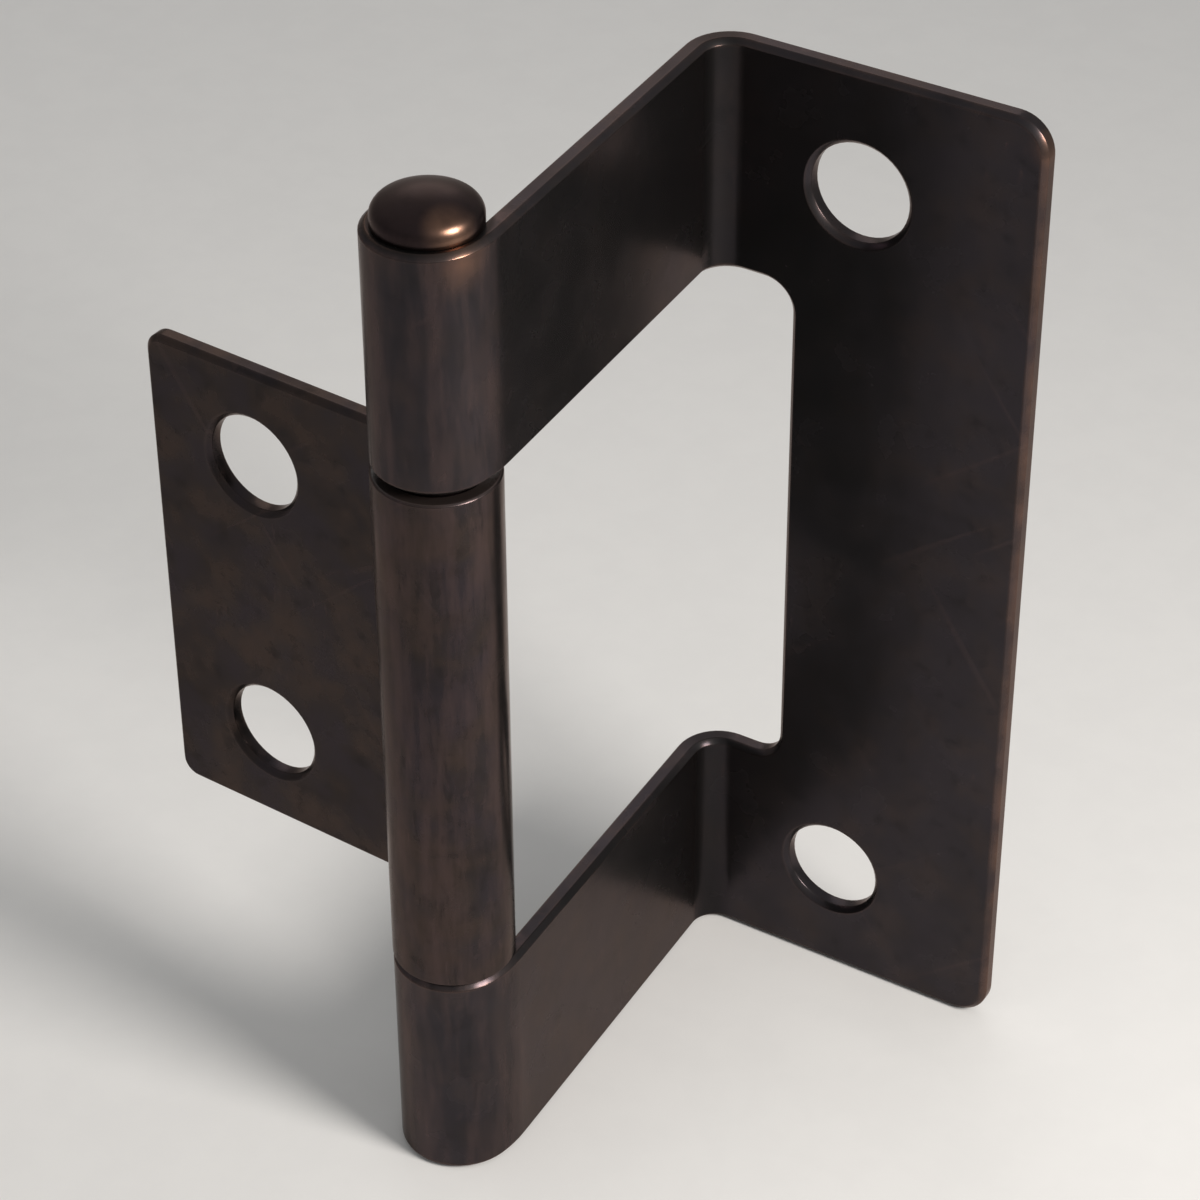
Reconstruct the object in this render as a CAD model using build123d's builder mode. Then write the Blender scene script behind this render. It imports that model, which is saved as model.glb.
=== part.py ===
from build123d import *
from math import acos, cos, degrees, radians
import os

# Cranked flush hinge. A cranked leaf wraps the edge and the back of a board, a small inner
# leaf swings through the window of the cranked one, and a headed pin runs through the
# knuckles that are rolled from both sheets.
#
# The origin is midway between the two flange holes, on the flange face that meets the board.
# +Z runs along the pin towards its head, -Y points out of that face and +X is the way that
# the flange reaches away from the pin. Lengths are millimetres and angles are degrees.

# Sheet and pin
sheet = 0.9
edge_break = 0.1
punch_draw = 0.25
length = 50.0
pin_diameter = 3.76
grip_clearance = 0.01
running_clearance = 0.04
seam_gap = 0.95
ease_radius = 6.0
ease_angle = 15.0

# Cranked leaf
crank_depth = 19.5
crank_lean = 2.4
bend_radius = 1.3
flange_reach = 17.85
flange_corner = 1.7
flange_hole_offset = 9.1
flange_hole_inset = 5.9
window_height = 27.0
window_reach = 6.0
window_corner = 1.5

# Inner leaf
opening_angle = 84.3
knuckle_end_play = 0.45
knuckle_seat_gap = 0.08
leaf_tip_clearance = 1.7
leaf_side_clearance = 0.95
leaf_shoulder = 3.4
shoulder_round = 0.35
leaf_corner = 1.0
leaf_hole_offset = 12.0
leaf_hole_inset = 5.0

# Screws
screw_hole = 4.8

# Pin head and foot
head_diameter = 4.7
head_height = 1.45
head_crown = 0.7
head_shoulder = 0.75
head_underside = 0.3
foot_recess = 0.2
foot_chamfer = 0.3

# Worked out from the sizes above
pin_radius = pin_diameter / 2
pin_x = -flange_hole_offset
pin_y = -crank_depth
outer_bore = pin_radius + grip_clearance
middle_bore = pin_radius + running_clearance
outer_knuckle = outer_bore + sheet
middle_knuckle = middle_bore + sheet
knuckle_height = window_height - knuckle_end_play
leaf_z = knuckle_seat_gap - knuckle_end_play / 2
arm_direction = 90 + crank_lean
leaf_direction = arm_direction + opening_angle
leaf_reach = crank_depth - leaf_tip_clearance
leaf_height = window_height - 2 * leaf_side_clearance


def rolled_midline(bore_radius, flat_direction):
    """Mid-line of a sheet rolled round the pin from its seam, with the arc that eases into the flat."""
    roll_radius = bore_radius + sheet / 2
    flat_lift = (ease_radius - roll_radius) * (1 - cos(radians(ease_angle)))
    seam_angle = degrees(acos((bore_radius + flat_lift - seam_gap) / (bore_radius + sheet)))
    flat_angle = flat_direction - 90
    roll = CenterArc((0, 0), roll_radius, flat_angle + seam_angle, 360 - seam_angle - ease_angle)
    return JernArc(roll @ 1, roll % 1, ease_radius, ease_angle)


def open_edges(flat):
    """Edges of a flat, apart from the lines where it runs on into a bend or a roll."""
    upright = flat.edges().filter_by(Axis.Z)
    folds = min(upright.group_by(Axis.X), key=lambda lines: abs(lines[0].center().X - pin_x))
    return flat.edges() - folds


def finish_sheet_edges(leaf, across_sheet):
    """Ease the outline and holes on the side that the punch entered, and break them on the other."""
    for side, width in ((0, punch_draw), (-1, edge_break)):
        chamfer(open_edges(leaf.faces().filter_by(across_sheet).sort_by(Axis.Y)[side]), length=width)


# Cranked leaf: the section of the folded sheet, drawn about the pin and run along it
with BuildPart() as cranked_leaf:
    with BuildSketch(Plane(origin=(pin_x, pin_y, -length / 2))) as crank_section:
        with BuildLine() as crank_fold:
            ease = rolled_midline(outer_bore, arm_direction)
            arm = PolarLine(
                ease @ 1,
                crank_depth + sheet / 2 - (ease @ 1).Y,
                arm_direction,
                length_mode=LengthMode.VERTICAL,
            )
            Line(arm @ 1, (flange_reach, (arm @ 1).Y))
            fillet(crank_fold.vertices().sort_by_distance(arm @ 1)[0], radius=bend_radius + sheet / 2)
        trace(line_width=sheet)
    extrude(amount=length)

    # Window that the inner leaf swings through, from the knuckles past the bend into the flange
    window_far_side = pin_x - outer_knuckle - 2 * window_corner
    with BuildSketch(Plane.XZ) as window:
        with Locations(((window_far_side + pin_x + window_reach) / 2, 0)):
            RectangleRounded(pin_x + window_reach - window_far_side, window_height, window_corner)
    extrude(amount=2 * crank_depth, both=True, mode=Mode.SUBTRACT)

    # Free corners and screw holes of the flange
    fillet(cranked_leaf.edges().filter_by(Axis.Y).group_by(Axis.X)[-1], radius=flange_corner)
    with Locations(Plane.XZ):
        with GridLocations(0, length - 2 * flange_hole_inset, 1, 2):
            Hole(radius=screw_hole / 2, depth=sheet)
    finish_sheet_edges(cranked_leaf, Axis.Y)
cranked_leaf.part.label = "cranked_leaf"

# Inner leaf: a knuckle that nearly fills the window, down on the lower arm's knuckle, and a flat
# leaf a little shorter than it
leaf_plane = Plane(
    origin=(pin_x, pin_y, leaf_z),
    x_dir=Vector(1, 0, 0).rotate(Axis.Z, leaf_direction),
    z_dir=Vector(0, -1, 0).rotate(Axis.Z, leaf_direction),
)
with BuildPart() as inner_leaf:
    with BuildSketch(Plane(origin=(pin_x, pin_y, leaf_z - knuckle_height / 2))) as leaf_section:
        with BuildLine():
            ease = rolled_midline(middle_bore, leaf_direction)
            PolarLine(ease @ 1, leaf_reach, leaf_direction)
        trace(line_width=sheet)
    extrude(amount=knuckle_height)

    # Outline of the blank, square to the leaf
    with BuildSketch(leaf_plane) as blank:
        Rectangle(leaf_reach, leaf_height, align=(Align.MIN, Align.CENTER))
        fillet(blank.vertices().group_by(Axis.X)[-1], radius=leaf_corner)
        Rectangle(2 * leaf_shoulder, knuckle_height)
        steps = blank.vertices().filter_by_position(Axis.X, leaf_shoulder, leaf_shoulder)
        fillet(steps, radius=shoulder_round)
        with Locations((leaf_hole_offset, 0)):
            with GridLocations(0, leaf_height - 2 * leaf_hole_inset, 1, 2):
                Circle(screw_hole / 2, mode=Mode.SUBTRACT)
    extrude(amount=2 * middle_knuckle, both=True, mode=Mode.INTERSECT)
    finish_sheet_edges(inner_leaf, Axis((0, 0, 0), leaf_plane.z_dir))
inner_leaf.part.label = "inner_leaf"

# Hinge pin: a straight shank under a low domed head
with BuildPart() as hinge_pin:
    with BuildSketch(Plane(origin=(pin_x, pin_y, 0), x_dir=(1, 0, 0), z_dir=(0, -1, 0))) as pin_half:
        with BuildLine():
            foot_z = -length / 2 + foot_recess
            seat_z = length / 2
            apex = (0, seat_z + head_height)
            rim = (head_diameter / 2, seat_z + head_height - head_crown)
            Polyline(apex, (0, foot_z), (pin_radius, foot_z), (pin_radius, seat_z), (rim[0], seat_z), rim)
            TangentArc(apex, rim, tangent=(1, 0))
        make_face()
        head_corners = pin_half.vertices().group_by(Axis.X)[-1].sort_by(Axis.Y)
        fillet(head_corners[-1], radius=head_shoulder)
        fillet(head_corners[0], radius=head_underside)
        chamfer(pin_half.vertices().group_by(Axis.Y)[0].sort_by(Axis.X)[-1], length=foot_chamfer)
    revolve(axis=Axis((pin_x, pin_y, 0), (0, 0, 1)))
hinge_pin.part.label = "hinge_pin"

os.makedirs("parts", exist_ok=True)
for piece in (cranked_leaf, inner_leaf, hinge_pin):
    export_step(piece.part, f"parts/{piece.part.label}.step")
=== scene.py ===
"""Cranked flush hinge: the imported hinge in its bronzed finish, standing on a pale studio floor.

The frame is the hinge's own. +Z runs along the pin towards its head, -Y points out of the flange face
that meets the board, and +X is the way that the flange reaches away from the pin. Lengths are metres.
"""
import logging
import math
from dataclasses import dataclass, field, replace
from enum import Enum

import bpy
import numpy as np
from mathutils import Matrix, Vector


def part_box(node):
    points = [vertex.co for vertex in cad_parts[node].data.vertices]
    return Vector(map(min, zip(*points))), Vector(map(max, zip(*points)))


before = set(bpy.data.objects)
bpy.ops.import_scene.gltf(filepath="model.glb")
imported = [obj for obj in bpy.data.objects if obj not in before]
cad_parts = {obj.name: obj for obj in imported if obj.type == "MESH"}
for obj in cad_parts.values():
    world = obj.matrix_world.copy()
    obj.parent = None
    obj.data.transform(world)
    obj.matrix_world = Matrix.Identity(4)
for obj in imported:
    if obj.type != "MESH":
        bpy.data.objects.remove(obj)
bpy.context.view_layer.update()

LOG = logging.getLogger("hinge")
MM = 0.001

Colour = tuple[float, float, float]
Point = tuple[float, float, float]
Socket = bpy.types.NodeSocket


class Grain(Enum):
    """How a pattern is stretched over a piece, as the scale along X, Y and Z."""

    CLOUDY = (1.0, 1.0, 1.0)
    FLECKED = (1.0, 1.0, 0.22)
    STREAKED = (1.0, 1.0, 0.12)
    SCRATCHED = (1.0, 1.0, 0.04)


@dataclass(frozen=True)
class Noise:
    """Fractal noise: features to a metre, its grain, and the number and weight of its finer octaves."""

    scale: float
    grain: Grain = Grain.CLOUDY
    detail: float = 4.0
    roughness: float = 0.55


class Pattern(Enum):
    """The patterns that the finishes are made of, from broad clouds to fine grit."""

    CLOUD = Noise(95.0)
    HAZE = Noise(330.0, roughness=0.5)
    FIBRE = Noise(380.0, detail=6.0)
    TINGE = Noise(430.0, detail=3.0, roughness=0.5)
    SMUDGE = Noise(800.0, Grain.FLECKED, detail=5.0, roughness=0.65)
    MOTTLE = Noise(900.0, detail=5.0, roughness=0.6)
    STREAK = Noise(1300.0, Grain.STREAKED, detail=3.0, roughness=0.6)
    SCRATCH = Noise(1500.0, Grain.SCRATCHED, detail=1.0)
    FLECK = Noise(1900.0, Grain.FLECKED, detail=2.0)
    SCUFF = Noise(3200.0, Grain.FLECKED, detail=3.0, roughness=0.6)
    GRIT = Noise(7000.0, detail=2.0)


@dataclass(frozen=True)
class Fade:
    """A smooth step: the result goes from start to end as a value goes from low to high."""

    low: float
    high: float
    start: float = 0.0
    end: float = 1.0

    def up_to(self, share: float) -> "Fade":
        """Give the same step with another result at its high end."""
        return replace(self, end=share)


class NodeSheet:
    """A material's node tree, with short calls for the nodes that the finishes share."""

    edge_rays: int = 2

    def __init__(self, name: str, shift: Point = (0.0, 0.0, 0.0)) -> None:
        """Start an empty material.

        Args:
            name: Name of the material.
            shift: Offset that tells the patterns of one piece from another's, in metres.
        """
        self.material = bpy.data.materials.new(name)
        self.material.use_nodes = True
        self.tree = self.material.node_tree
        self.tree.nodes.clear()
        self.shift = shift
        self.place = self.add("ShaderNodeTexCoord").outputs["Object"]

    def add(self, kind: str, **settings: object) -> bpy.types.Node:
        """Add a node and set its properties.

        Args:
            kind: Blender's name for the kind of node.
            settings: Properties of the node, by name.

        Returns:
            The new node.
        """
        node = self.tree.nodes.new(kind)
        for key, value in settings.items():
            setattr(node, key, value)
        return node

    def fill(self, socket: Socket, value: object) -> None:
        """Fill one input.

        Args:
            socket: The input.
            value: Another node's output, which is linked, or a constant.
        """
        if isinstance(value, Socket):
            self.tree.links.new(value, socket)
        else:
            socket.default_value = value

    def wire(self, node: bpy.types.Node, **values: object) -> bpy.types.Node:
        """Fill a node's inputs by name.

        Args:
            node: The node whose inputs are filled.
            values: Outputs or constants by the input's name, with underscores for spaces.

        Returns:
            The same node.
        """
        for key, value in values.items():
            self.fill(node.inputs[key.replace("_", " ")], value)
        return node

    def noise(self, pattern: Pattern, turn: Point = (0.0, 0.0, 0.0)) -> Socket:
        """Spread a pattern over the piece's own coordinates.

        Args:
            pattern: The pattern.
            turn: Turn of its grain about X, Y and Z, in radians.

        Returns:
            The pattern's value, about 0 to 1.
        """
        noise = pattern.value
        turned = self.wire(
            self.add("ShaderNodeMapping"), Vector=self.place, Location=self.shift, Rotation=turn
        )
        drawn = self.wire(
            self.add("ShaderNodeMapping"), Vector=turned.outputs["Vector"], Scale=noise.grain.value
        )
        spots = self.wire(
            self.add("ShaderNodeTexNoise"),
            Vector=drawn.outputs["Vector"],
            Scale=noise.scale,
            Detail=noise.detail,
            Roughness=noise.roughness,
        )
        return spots.outputs["Fac"]

    def ramp(self, value: Socket, fade: Fade) -> Socket:
        """Ease a value from one range to another, held at both ends.

        Args:
            value: The value to map.
            fade: The two ranges.

        Returns:
            The mapped value.
        """
        node = self.add("ShaderNodeMapRange", interpolation_type="SMOOTHSTEP")
        self.wire(
            node, Value=value, From_Min=fade.low, From_Max=fade.high, To_Min=fade.start, To_Max=fade.end
        )
        return node.outputs["Result"]

    def combine(self, operation: str, first: object, second: object) -> Socket:
        """Combine two values.

        Args:
            operation: Blender's name for the sum.
            first: First value or output.
            second: Second value or output.

        Returns:
            The combined value, held to 0 to 1.
        """
        node = self.add("ShaderNodeMath", operation=operation, use_clamp=True)
        for socket, value in zip(node.inputs, (first, second)):
            self.fill(socket, value)
        return node.outputs["Value"]

    def lay(self, under: object, over: object, share: Socket) -> Socket:
        """Lay one colour over another.

        Args:
            under: Colour or output below.
            over: Colour or output on top.
            share: How much of the top colour shows.

        Returns:
            The mixed colour.
        """
        node = self.add("ShaderNodeMix", data_type="RGBA")
        inputs = {socket.identifier: socket for socket in node.inputs}
        outputs = {socket.identifier: socket for socket in node.outputs}
        self.fill(inputs["Factor_Float"], share)
        for key, colour in (("A_Color", under), ("B_Color", over)):
            self.fill(inputs[key], colour if isinstance(colour, Socket) else (*colour, 1.0))
        return outputs["Result_Color"]

    def edges(self, radius: float, fade: Fade) -> Socket:
        """Mask of the outer edges, from how far a rounded normal turns from the true one.

        Args:
            radius: Width of the band along an edge, in metres.
            fade: Step over the cosine of the turn.

        Returns:
            The mask, 1 on an edge.
        """
        rounded = self.wire(self.add("ShaderNodeBevel", samples=self.edge_rays), Radius=radius)
        true = self.add("ShaderNodeNewGeometry")
        turn = self.add("ShaderNodeVectorMath", operation="DOT_PRODUCT")
        for socket, source in zip(turn.inputs, (rounded, true)):
            self.fill(socket, source.outputs["Normal"])
        return self.ramp(turn.outputs["Value"], fade)

    def distance(self, place: Socket, centre: Point) -> Socket:
        """Distance from a point.

        Args:
            place: Where the surface is.
            centre: The point, in metres.

        Returns:
            The distance in metres.
        """
        node = self.add("ShaderNodeVectorMath", operation="DISTANCE")
        for socket, value in zip(node.inputs, (place, centre)):
            self.fill(socket, value)
        return node.outputs["Value"]

    def relief(self, height: Socket, depth: float, strength: float) -> Socket:
        """Fine relief as a bent normal.

        Args:
            height: Height pattern, 0 to 1.
            depth: Depth of the pattern in metres.
            strength: Share of the relief that shows.

        Returns:
            The bent normal.
        """
        bump = self.wire(self.add("ShaderNodeBump"), Height=height, Distance=depth, Strength=strength)
        return bump.outputs["Normal"]

    def close(self, **values: object) -> bpy.types.Material:
        """End the tree with a surface shader.

        Args:
            values: The shader's inputs by name.

        Returns:
            The finished material.
        """
        shader = self.wire(self.add("ShaderNodeBsdfPrincipled"), **values)
        self.wire(self.add("ShaderNodeOutputMaterial"), Surface=shader.outputs["BSDF"])
        return self.material


@dataclass(frozen=True)
class Reach:
    """Where a finish changes: round a point, or along the upright line through it.

    The share holds out to the full radius and falls to nothing where the reach is gone.
    """

    centre: Point
    full: float
    gone: float
    upright: bool = True
    share: float = 1.0

    def mask(self, sheet: NodeSheet) -> Socket:
        """Mask of the reach.

        Args:
            sheet: The tree that is built.

        Returns:
            The share at each spot of the surface.
        """
        place = sheet.place
        if self.upright:
            flat = sheet.wire(sheet.add("ShaderNodeMapping"), Vector=place, Scale=(1.0, 1.0, 0.0))
            place = flat.outputs["Vector"]
        return sheet.ramp(sheet.distance(place, self.centre), Fade(self.gone, self.full, end=self.share))


@dataclass(frozen=True)
class BronzeFinish:
    """Dark bronze plating under lacquer: cloudy patina, streaked knuckles and coppery wear, with painted
    shade and a painted highlight where a piece asks for them.
    """

    name: str
    deep: Colour
    pale: Colour
    shift: Point = (0.0, 0.0, 0.0)

    # Patina
    cloud_fade: Fade = Fade(0.30, 0.70, start=0.25, end=0.85)
    haze_fade: Fade = Fade(0.42, 0.72, end=0.6)
    tinged: Colour = (0.053, 0.0340, 0.0265)
    tinge_fade: Fade = Fade(0.44, 0.70)
    cooled: Colour = (0.0270, 0.0215, 0.0285)
    cool_fade: Fade = Fade(0.54, 0.30)
    tinge_share: float = 0.35
    speck_fade: Fade = Fade(0.50, 0.76, end=0.75)

    # Scuffs, scratches and streaks
    streaked: Colour = (0.088, 0.0555, 0.0530)
    scuffed_clouds: Fade = Fade(0.50, 0.66, end=0.5)
    scuff_fade: Fade = Fade(0.60, 0.74)
    scratch_slopes: tuple[float, ...] = (math.radians(34.0), math.radians(-52.0))
    scratch_fade: Fade = Fade(0.69, 0.75, end=0.16)
    knuckle: Reach | None = None
    smudge_share: float = 0.5
    streak_fade: Fade = Fade(0.40, 0.66)
    fleck_fade: Fade = Fade(0.58, 0.76)
    streak_share: float = 0.50

    # Wear, painted highlights, painted shade and dust
    worn: Colour = (0.34, 0.190, 0.125)
    edge_width: float = 0.20 * MM
    edge_fade: Fade = Fade(0.98, 0.80)
    edge_wear: float = 0.25
    rim_wear: float = 0.7
    # Spots of coppery wear; on the pin's head the spot is also a painted highlight halo.
    rubs_and_highlights: tuple[Reach, ...] = ()
    wear_fade: Fade = Fade(0.34, 0.64, start=0.35, end=1.2)
    # Painted shade: a near black colour laid where shade falls, in the crease of the bend and round the
    # pin's seat, and the places that get it.
    painted_shade: Colour = (0.0060, 0.0048, 0.0050)
    painted_shade_reaches: tuple[Reach, ...] = ()
    dust: Colour = (0.0180, 0.0132, 0.0118)
    dusted: Reach | None = None
    dust_dulling: Fade = Fade(0.0, 1.0, start=1.0, end=0.0)

    # Gloss and relief
    glancing: Colour = (0.74, 0.655, 0.62)
    gloss: Fade = Fade(0.30, 0.70, start=0.20, end=0.29)
    lacquer: float = 0.25
    lacquer_gloss: float = 0.55
    relief_depth: float = 0.005 * MM
    relief_share: float = 0.4

    def material(self) -> bpy.types.Material:
        """Make the finish.

        Returns:
            The material with its colour, gloss and relief patterns.
        """
        sheet = NodeSheet(self.name, self.shift)
        haze = sheet.noise(Pattern.HAZE)
        colour = self.patina(sheet, haze)
        wear = sheet.combine("MULTIPLY", sheet.edges(self.edge_width, self.edge_fade), self.edge_wear)
        if self.knuckle:
            rolled = self.knuckle.mask(sheet)
            colour = self.streaks(sheet, colour, rolled)
            rims = sheet.combine("MULTIPLY", rolled, self.rim_wear)
            wear = sheet.combine("ADD", wear, sheet.combine("MULTIPLY", wear, rims))
        # Painted shade over the places listed for it.
        for reach in self.painted_shade_reaches:
            colour = sheet.lay(colour, self.painted_shade, reach.mask(sheet))
        # Coppery wear, and on the pin's head a painted highlight halo.
        for reach in self.rubs_and_highlights:
            wear = sheet.combine("ADD", wear, reach.mask(sheet))
        bare = sheet.combine("MULTIPLY", wear, sheet.ramp(haze, self.wear_fade))
        colour = sheet.lay(colour, self.worn, bare)
        metal: Socket | float = 1.0
        if self.dusted:
            dust = self.dusted.mask(sheet)
            colour = sheet.lay(colour, self.dust, dust)
            metal = sheet.ramp(dust, self.dust_dulling)
        return sheet.close(
            Base_Color=colour,
            Metallic=metal,
            Specular_Tint=(*self.glancing, 1.0),
            Roughness=sheet.ramp(haze, self.gloss),
            Coat_Weight=self.lacquer,
            Coat_Roughness=self.lacquer_gloss,
            Normal=sheet.relief(sheet.noise(Pattern.GRIT), self.relief_depth, self.relief_share),
        )

    def patina(self, sheet: NodeSheet, haze: Socket) -> Socket:
        """Cloudy patina: clouds, haze, warm and cool tinges, dark specks, pale scuffs and scratches.

        Args:
            sheet: The tree that is built.
            haze: Pattern of a few millimetres.

        Returns:
            The colour.
        """
        cloud = sheet.noise(Pattern.CLOUD)
        tinge = sheet.noise(Pattern.TINGE)
        colour = sheet.lay(self.deep, self.pale, sheet.ramp(cloud, self.cloud_fade))
        colour = sheet.lay(colour, self.pale, sheet.ramp(haze, self.haze_fade))
        for tint, fade in ((self.tinged, self.tinge_fade), (self.cooled, self.cool_fade)):
            colour = sheet.lay(colour, tint, sheet.ramp(tinge, fade.up_to(self.tinge_share)))
        colour = sheet.lay(colour, self.deep, sheet.ramp(sheet.noise(Pattern.MOTTLE), self.speck_fade))
        scuffs = sheet.combine(
            "MULTIPLY",
            sheet.ramp(cloud, self.scuffed_clouds),
            sheet.ramp(sheet.noise(Pattern.SCUFF), self.scuff_fade),
        )
        colour = sheet.lay(colour, self.streaked, scuffs)
        for slope in self.scratch_slopes:
            line = sheet.noise(Pattern.SCRATCH, turn=(0.0, slope, 0.0))
            colour = sheet.lay(colour, self.streaked, sheet.ramp(line, self.scratch_fade))
        return colour

    def streaks(self, sheet: NodeSheet, colour: Socket, rolled: Socket) -> Socket:
        """Pale streaks and dark flecks along the pin, where the sheet is rolled.

        Args:
            sheet: The tree that is built.
            colour: Colour so far.
            rolled: Mask of the knuckles.

        Returns:
            The colour.
        """
        streak = sheet.combine("MULTIPLY", sheet.noise(Pattern.STREAK), 1.0 - self.smudge_share)
        smudge = sheet.combine("MULTIPLY", sheet.noise(Pattern.SMUDGE), self.smudge_share)
        blend = sheet.combine("ADD", streak, smudge)
        fleck = sheet.noise(Pattern.FLECK)
        for tint, marks, fade in (
            (self.streaked, blend, self.streak_fade),
            (self.deep, fleck, self.fleck_fade),
        ):
            share = sheet.ramp(marks, fade.up_to(self.streak_share))
            colour = sheet.lay(colour, tint, sheet.combine("MULTIPLY", share, rolled))
        return colour


@dataclass(frozen=True)
class FloorFinish:
    """Matt pale paper."""

    name: str = "pale_paper"
    pale: Colour = (0.80, 0.80, 0.79)
    fibre: Colour = (0.787, 0.787, 0.778)
    fibre_fade: Fade = Fade(0.35, 0.65)
    roughness: float = 0.9
    shine: float = 0.2

    def material(self) -> bpy.types.Material:
        """Make the finish.

        Returns:
            The material, a near white with a faint fibre.
        """
        sheet = NodeSheet(self.name)
        fibre = sheet.ramp(sheet.noise(Pattern.FIBRE), self.fibre_fade)
        return sheet.close(
            Base_Color=sheet.lay(self.pale, self.fibre, fibre),
            Roughness=self.roughness,
            Specular_IOR_Level=self.shine,
        )


@dataclass(frozen=True)
class EdgeRounding:
    """Rounds the sharp edges that stamping and tumbling leave soft on the real pieces."""

    weld: float = 0.5e-6
    flat: float = math.radians(0.4)
    sharp: float = math.radians(32.0)
    width: float = 0.035 * MM
    segments: int = 2
    shading_weight: int = 60

    def apply(self, piece: bpy.types.Object) -> None:
        """Add the modifiers that join the triangles, round the edges and even the shading.

        Args:
            piece: The object that gets them.
        """
        joined = piece.modifiers.new("join", "WELD")
        joined.merge_threshold = self.weld
        merged = piece.modifiers.new("merge flats", "DECIMATE")
        merged.decimate_type = "DISSOLVE"
        merged.angle_limit = self.flat
        rounded = piece.modifiers.new("round edges", "BEVEL")
        rounded.limit_method = "ANGLE"
        rounded.angle_limit = self.sharp
        rounded.width = self.width
        rounded.segments = self.segments
        rounded.miter_outer = "MITER_ARC"
        self.smooth(piece)
        even = piece.modifiers.new("even shading", "WEIGHTED_NORMAL")
        even.weight = self.shading_weight
        even.keep_sharp = False

    def smooth(self, piece: bpy.types.Object) -> None:
        """Add a modifier that shades every face and edge smooth.

        Args:
            piece: The object that gets it.
        """
        group = bpy.data.node_groups.get("shade_smooth")
        if group is None:
            group = bpy.data.node_groups.new("shade_smooth", "GeometryNodeTree")
            for way in ("INPUT", "OUTPUT"):
                group.interface.new_socket("Geometry", in_out=way, socket_type="NodeSocketGeometry")
            shape = group.nodes.new("NodeGroupInput").outputs["Geometry"]
            for domain in ("EDGE", "FACE"):
                step = group.nodes.new("GeometryNodeSetShadeSmooth")
                step.domain = domain
                group.links.new(shape, step.inputs["Geometry"])
                shape = step.outputs["Geometry"]
            group.links.new(shape, group.nodes.new("NodeGroupOutput").inputs["Geometry"])
        piece.modifiers.new("shade smooth", "NODES").node_group = group


@dataclass
class HingePiece:
    """A piece of the hinge whose shape is the CAD node's own."""

    node: str
    rounding: EdgeRounding = field(default_factory=EdgeRounding)

    def finish(self) -> BronzeFinish:
        """Work out the finish of the piece, which each kind of piece has for itself."""
        raise NotImplementedError

    def build(self) -> bpy.types.Object:
        """Take the CAD node, round its edges and dress it.

        Returns:
            The dressed object.
        """
        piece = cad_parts[self.node]
        self.rounding.apply(piece)
        self.dress(piece)
        return piece

    def dress(self, piece: bpy.types.Object) -> None:
        """Put the finish in the piece's material slot.

        Args:
            piece: The object that is dressed.
        """
        finish = self.finish()
        piece.material_slots[0].material = finish.material()
        LOG.info("%s dressed in %s", self.node, finish.name)

    def pin_axis(self) -> Point:
        """Find the pin's axis.

        Returns:
            The point of the axis at the height of the origin.
        """
        low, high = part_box("hinge_pin")
        return ((low.x + high.x) / 2, (low.y + high.y) / 2, 0.0)

    def roll_radius(self) -> float:
        """Find the outer radius of the rolled knuckles, which are the crank's foremost part."""
        return self.pin_axis()[1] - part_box("cranked_leaf")[0].y


@dataclass
class CrankedLeaf(HingePiece):
    """The folded leaf: a plain dark flange and arms, streaked knuckles, painted shade darkening the crease
    in the bend, and a painted shadow round the pin's seat.
    """

    node: str = "cranked_leaf"
    roll_fade: float = 0.9 * MM
    # The crease of the bend is darkened towards the painted shade colour: painted shade.
    crease_offset: float = 2.1 * MM
    crease_full: float = 0.5 * MM
    crease_gone: float = 1.7 * MM
    crease_shade_share: float = 0.7
    # Painted shadow of the pin's head on the knuckle's top round its seat.
    seat_shade_fade: float = 0.25 * MM
    seat_shade_share: float = 0.9
    # A coppery patch on the knuckle's wall just below its top rim.
    rim_angle: float = math.radians(-30.0)
    rim_drop: float = 0.4 * MM
    rim_patch: float = 2.0 * MM
    rim_patch_share: float = 0.45
    edge_rub: float = 0.6 * MM
    edge_share: float = 0.21
    corner_rub: float = 1.2 * MM
    corner_share: float = 0.30

    def finish(self) -> BronzeFinish:
        """Work out the finish from where the pin, the bend and the free edge are.

        Returns:
            The finish.
        """
        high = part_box(self.node)[1]
        pin = self.pin_axis()
        roll = self.roll_radius()
        outward = Vector((math.cos(self.rim_angle), math.sin(self.rim_angle), 0.0))
        rim = tuple(Vector((*pin[:2], high.z - self.rim_drop)) + roll * outward)
        seat = (*pin[:2], high.z)
        edge = (high.x, high.y / 2, 0.0)
        corner = (high.x, high.y / 2, high.z - self.corner_rub)
        crease = (pin[0] + self.crease_offset, 0.0, 0.0)
        return BronzeFinish(
            "bronzed_crank",
            deep=(0.0145, 0.0118, 0.0137),
            pale=(0.0380, 0.0308, 0.0352),
            tinge_share=0.30,
            worn=(0.270, 0.138, 0.086),
            edge_wear=0.32,
            lacquer=0.36,
            knuckle=Reach(pin, roll, roll + self.roll_fade),
            # Painted shade in the crease of the bend and painted shadow round the pin's seat.
            painted_shade_reaches=(
                Reach(crease, self.crease_full, self.crease_gone, share=self.crease_shade_share),
                Reach(seat, roll - self.seat_shade_fade, roll, upright=False, share=self.seat_shade_share),
            ),
            # A coppery patch below the top rim, and worn copper along the free edge and at its top corner.
            rubs_and_highlights=(
                Reach(rim, 0.0, self.rim_patch, upright=False, share=self.rim_patch_share),
                Reach(edge, self.edge_rub / 2, self.edge_rub, share=self.edge_share),
                Reach(corner, 0.0, self.corner_rub, upright=False, share=self.corner_share),
            ),
        )


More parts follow.
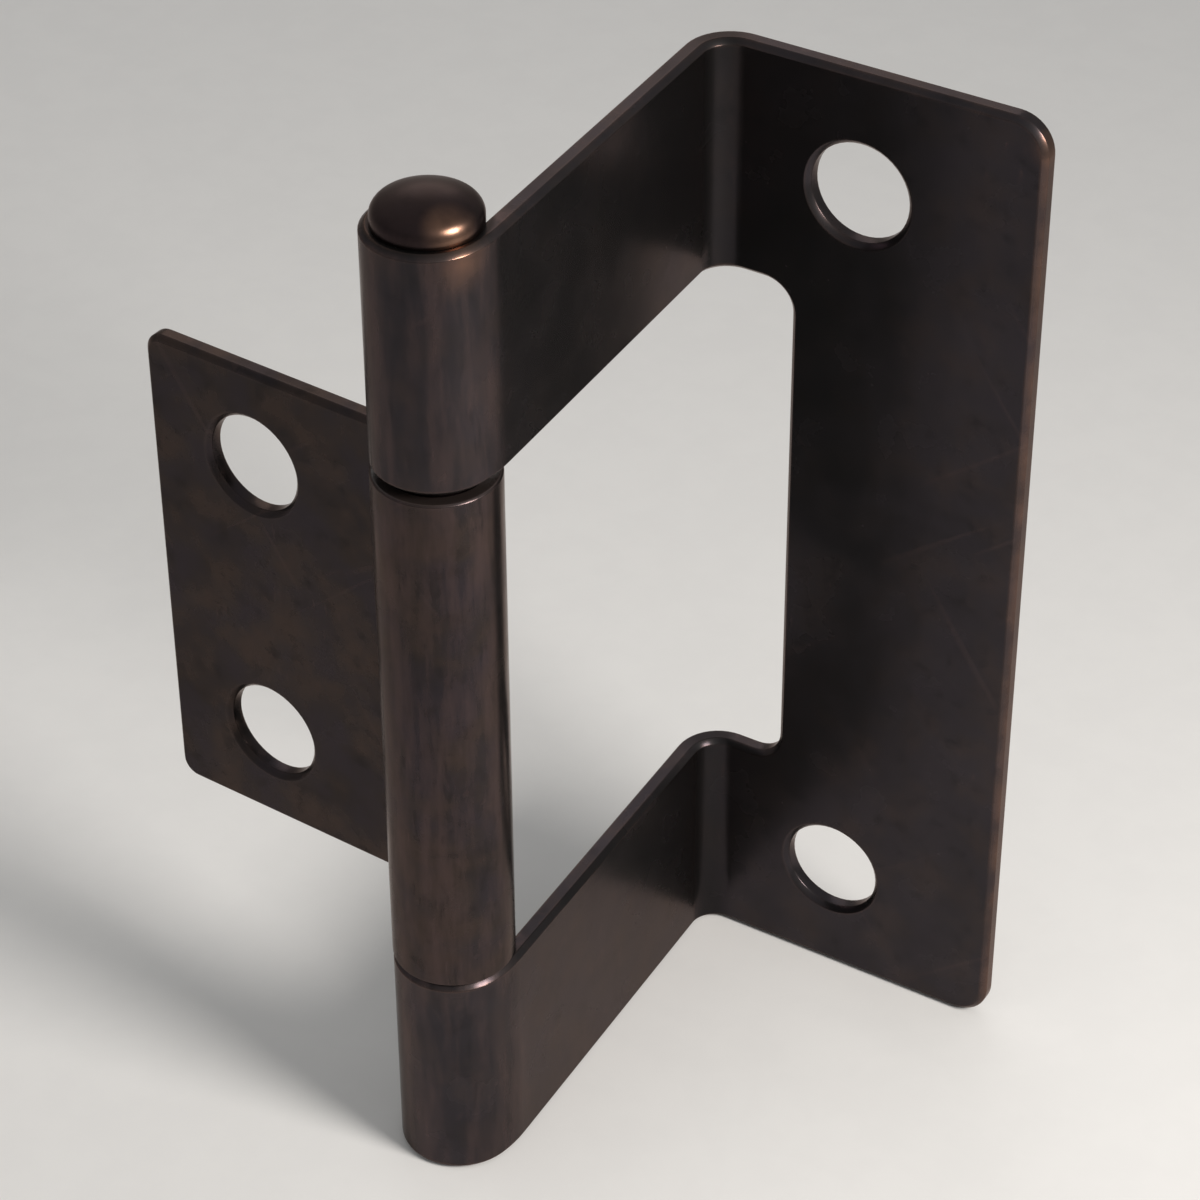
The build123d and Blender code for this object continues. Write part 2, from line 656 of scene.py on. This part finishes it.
@dataclass
class InnerLeaf(HingePiece):
    """The flat leaf, browner than the crank, with a streaked knuckle and dust in the joint above it."""

    node: str = "inner_leaf"
    roll_fade: float = 0.6 * MM
    end_fade: float = 0.1 * MM
    shift: Point = (0.013, 0.007, 0.021)

    def finish(self) -> BronzeFinish:
        """Work out the finish from where the pin and the end of the knuckle are.

        Returns:
            The finish.
        """
        pin = self.pin_axis()
        roll = self.roll_radius()
        end = (*pin[:2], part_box(self.node)[1].z)
        return BronzeFinish(
            "bronzed_leaf",
            deep=(0.0130, 0.0102, 0.0100),
            pale=(0.0400, 0.0300, 0.0288),
            shift=self.shift,
            tinge_share=0.65,
            streak_share=0.55,
            worn=(0.105, 0.0740, 0.0690),
            edge_wear=0.7,
            knuckle=Reach(pin, roll, roll + self.roll_fade),
            dusted=Reach(end, roll - self.end_fade, roll, upright=False),
        )


@dataclass
class HingePin(HingePiece):
    """The pin, whose domed head is rubbed coppery where it faces out, the spot also painting a highlight
    halo, with painted shade under the head.
    """

    node: str = "hinge_pin"
    shift: Point = (0.031, 0.017, 0.005)
    # Worn copper on the head's shoulder at the key lamp's highlight, which is also a painted highlight
    # halo.
    highlight_rub_offset: Point = (1.95 * MM, -1.07 * MM, -0.7 * MM)
    highlight_rub_radius: float = 1.5 * MM
    highlight_rub_share: float = 0.95
    # Painted shade under the head, where it sits on the knuckle.
    seat_shade_fade: float = 0.09 * MM
    seat_shade_share: float = 0.6

    def finish(self) -> BronzeFinish:
        """Work out the finish from where the head and its seat are.

        Returns:
            The finish.
        """
        low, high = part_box(self.node)
        x, y, _ = self.pin_axis()
        head = (high.x - low.x) / 2
        seat = (x, y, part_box("cranked_leaf")[1].z)
        # Where the worn spot with the painted highlight halo sits on the head.
        spot = tuple(Vector((x, y, high.z)) + Vector(self.highlight_rub_offset))
        return BronzeFinish(
            "bronzed_pin",
            deep=(0.0420, 0.0280, 0.0290),
            pale=(0.0900, 0.0580, 0.0590),
            shift=self.shift,
            glancing=(0.90, 0.80, 0.76),
            gloss=Fade(0.30, 0.70, start=0.27, end=0.35),
            lacquer=0.10,
            # Painted shade under the head; then the worn spot that also paints a highlight halo.
            painted_shade_reaches=(Reach(seat, head, head + self.seat_shade_fade, upright=False, share=self.seat_shade_share),),
            rubs_and_highlights=(Reach(spot, 0.0, self.highlight_rub_radius, upright=False, share=self.highlight_rub_share),),
        )


@dataclass
class StudioFloor:
    """A round pale floor that turns up smoothly far from the hinge."""

    level: float
    flat_radius: float = 0.9
    reach: float = 2.2
    rise: float = 0.9
    rings: int = 48
    sectors: int = 96
    finish: FloorFinish = field(default_factory=FloorFinish)

    def surface(self) -> tuple[np.ndarray, np.ndarray, np.ndarray]:
        """Work out the floor as a grid over radius and angle.

        The radius grows evenly from the centre to the reach. The height is the level out to the flat
        radius, and then rises as the square of the share of the way from there to the rim. The first
        ring is closed by wedges round a hub at the centre.

        Returns:
            Corners as an n by 3 array, and quads and wedges as arrays of corner numbers.
        """
        radius, angle = np.meshgrid(
            np.linspace(0.0, self.reach, self.rings + 1)[1:],
            np.linspace(0.0, 2.0 * np.pi, self.sectors, endpoint=False),
            indexing="ij",
        )
        share = np.clip((radius - self.flat_radius) / (self.reach - self.flat_radius), 0.0, 1.0)
        grid = np.stack(
            (radius * np.cos(angle), radius * np.sin(angle), self.level + self.rise * share**2), axis=-1
        )
        corners = np.vstack((grid.reshape(-1, 3), (0.0, 0.0, self.level)))
        ring, turn = np.meshgrid(np.arange(self.rings - 1), np.arange(self.sectors), indexing="ij")
        after = (turn + 1) % self.sectors
        near, far = ring * self.sectors, (ring + 1) * self.sectors
        quads = np.stack((near + turn, far + turn, far + after, near + after), axis=-1)
        hub = np.full(self.sectors, len(corners) - 1)
        wedges = np.stack((hub, turn[0], after[0]), axis=-1)
        return corners, quads.reshape(-1, 4), wedges

    def build(self) -> bpy.types.Object:
        """Make the floor.

        Returns:
            The floor's object.
        """
        corners, quads, wedges = self.surface()
        mesh = bpy.data.meshes.new("studio_floor")
        mesh.from_pydata(corners.tolist(), [], quads.tolist() + wedges.tolist())
        mesh.polygons.foreach_set("use_smooth", np.ones(len(mesh.polygons), dtype=bool))
        mesh.materials.append(self.finish.material())
        floor = bpy.data.objects.new("studio_floor", mesh)
        bpy.context.scene.collection.objects.link(floor)
        LOG.info("studio floor laid at %.1f mm", self.level / MM)
        return floor


@dataclass
class SoftLamp:
    """A round soft box that looks at one point, with the angle that its light spreads over."""

    name: str
    place: Point
    target: Point
    width: float
    power: float
    colour: Colour
    spread: float = math.radians(180.0)

    def build(self) -> bpy.types.Object:
        """Hang the lamp.

        Returns:
            The lamp's object.
        """
        light = bpy.data.lights.new(self.name, "AREA")
        light.shape = "DISK"
        light.size = self.width
        light.spread = self.spread
        light.energy = self.power
        light.color = self.colour
        lamp = bpy.data.objects.new(self.name, light)
        lamp.location = self.place
        aim = Vector(self.target) - Vector(self.place)
        lamp.rotation_euler = aim.to_track_quat("-Z", "Y").to_euler()
        bpy.context.scene.collection.objects.link(lamp)
        LOG.info("%s hung", self.name)
        return lamp


@dataclass
class PhotoCamera:
    """The camera of the photograph, which looks down on the hinge from the right of its front."""

    place: Point = (64.154 * MM, -125.334 * MM, 101.506 * MM)
    target: Point = (-6.789 * MM, -10.361 * MM, 1.357 * MM)
    roll: float = math.radians(0.351)
    lens: float = 112.49
    sensor: float = 36.0
    nearest: float = 1.0 * MM

    def build(self) -> bpy.types.Object:
        """Set up the camera and make it the scene's own.

        Returns:
            The camera's object.
        """
        optics = bpy.data.cameras.new("photo_camera")
        optics.lens = self.lens
        optics.sensor_width = self.sensor
        optics.clip_start = self.nearest
        camera = bpy.data.objects.new("photo_camera", optics)
        aim = (Vector(self.target) - Vector(self.place)).to_track_quat("-Z", "Y").to_matrix().to_4x4()
        turn = Matrix.Rotation(-self.roll, 4, "Z")
        camera.matrix_world = Matrix.Translation(Vector(self.place)) @ aim @ turn
        bpy.context.scene.collection.objects.link(camera)
        bpy.context.scene.camera = camera
        LOG.info("camera set")
        return camera


@dataclass
class Studio:
    """Floor, lamps, sky and camera around the hinge."""

    floor: StudioFloor
    middle: Point = (-5.0 * MM, -10.0 * MM, 0.0)
    sky: Colour = (1.0, 0.995, 0.99)
    sky_strength: float = 0.40

    def build(self) -> None:
        """Set everything up."""
        self.floor.build()
        for lamp in self.lamps():
            lamp.build()
        self.light_sky()
        PhotoCamera().build()
        bpy.context.scene.view_settings.view_transform = "Standard"

    def lamps(self) -> list[SoftLamp]:
        """List the soft boxes: a warm key close on the right, and a broad one far behind on the left.

        Returns:
            The lamps.
        """
        key = SoftLamp(
            "key_lamp",
            place=(0.140, -0.028, 0.094),
            target=self.middle,
            width=0.066,
            power=0.107,
            colour=(1.0, 0.95, 0.90),
            spread=math.radians(100.0),
        )
        back = SoftLamp(
            "back_lamp",
            place=(-0.30, 0.42, 0.31),
            target=self.middle,
            width=0.35,
            power=0.24,
            colour=(1.0, 0.97, 0.95),
        )
        return [key, back]

    def light_sky(self) -> None:
        """Give the world one pale colour all round."""
        world = bpy.data.worlds.new("pale_sky")
        world.use_nodes = True
        sky = world.node_tree.nodes["Background"]
        sky.inputs["Color"].default_value = (*self.sky, 1.0)
        sky.inputs["Strength"].default_value = self.sky_strength
        bpy.context.scene.world = world


def main() -> None:
    """Dress the hinge and set up the studio round it."""
    logging.basicConfig(level=logging.INFO, format="%(name)s: %(message)s")
    for piece in (CrankedLeaf(), InnerLeaf(), HingePin()):
        piece.build()
    Studio(StudioFloor(level=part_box("cranked_leaf")[0].z)).build()


if __name__ == "__main__":
    main()
